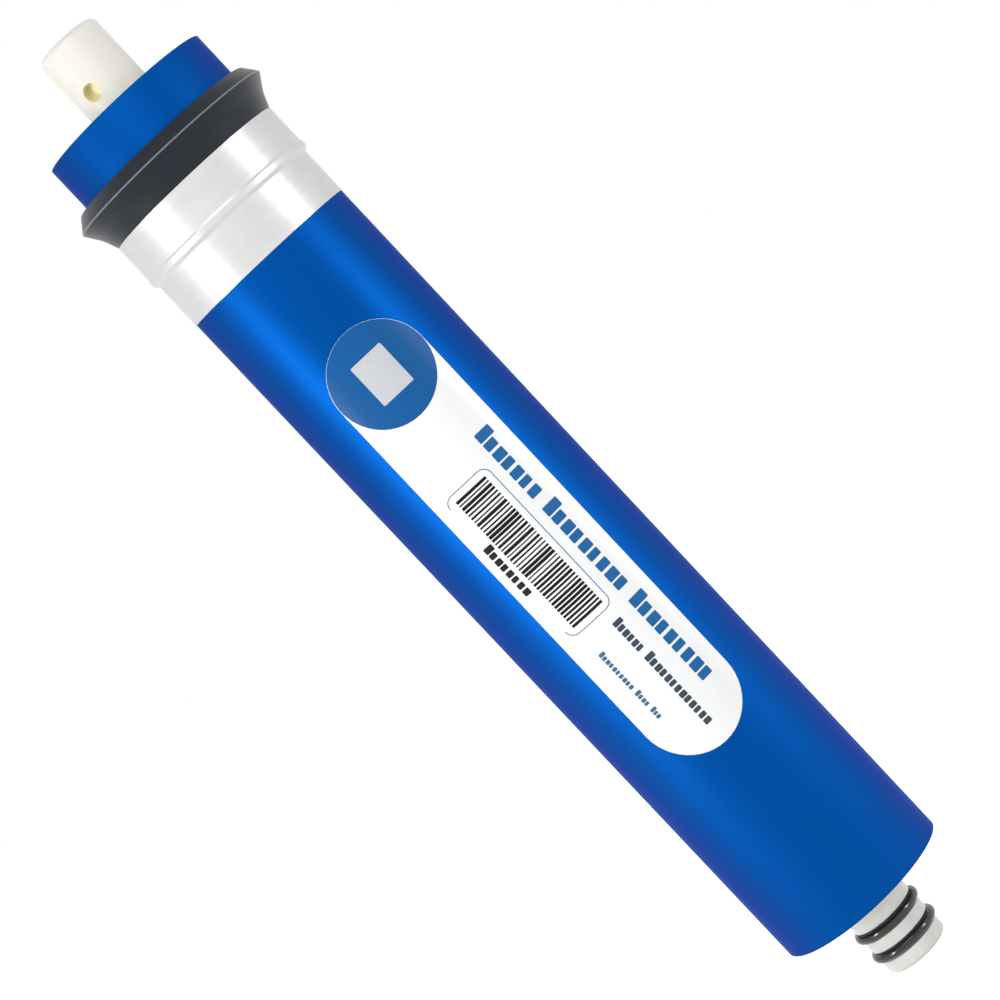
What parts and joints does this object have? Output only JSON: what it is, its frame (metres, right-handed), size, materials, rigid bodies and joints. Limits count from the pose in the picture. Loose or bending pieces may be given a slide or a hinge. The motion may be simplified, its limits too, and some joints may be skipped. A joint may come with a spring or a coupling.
{
  "type": "ro membrane element",
  "caption": "Spiral-wound reverse osmosis element: blue wrapped cylinder on a product tube, rubber brine seal near the closed end, O-ring spigot at the other.",
  "frame": {"origin": "centre of the spigot's end face, where the element stands", "axes": "+Z along the element's axis from the O-ring spigot to the closed feed end; the label faces -Y"},
  "size_m": [0.057, 0.057, 0.298],
  "materials": {
    "ivory_plastic": "moulded, satin gloss",
    "black_rubber": "lubricated, glossy",
    "white_fabric": "knitted tricot",
    "membrane_film": "coated film",
    "netting_plastic": "extruded netting",
    "adhesive": "cured polyurethane",
    "blue_film": "glossy film",
    "seal_rubber": "moulded, satin",
    "silver_tape": "metallic silver, satin",
    "label_paper": "gloss coated"
  },
  "bodies": {
    "root": {"product_tube": "ivory_plastic", "o_ring_outer": "black_rubber", "o_ring_inner": "black_rubber", "permeate_carrier": "white_fabric", "membrane_sheet": "membrane_film", "feed_spacer": "netting_plastic", "core_bond": "adhesive", "leaf_glue_line": "adhesive", "outer_wrap": "blue_film", "brine_seal": "seal_rubber", "seal_tape": "silver_tape", "label": "label_paper"}
  },
  "joints": []
}
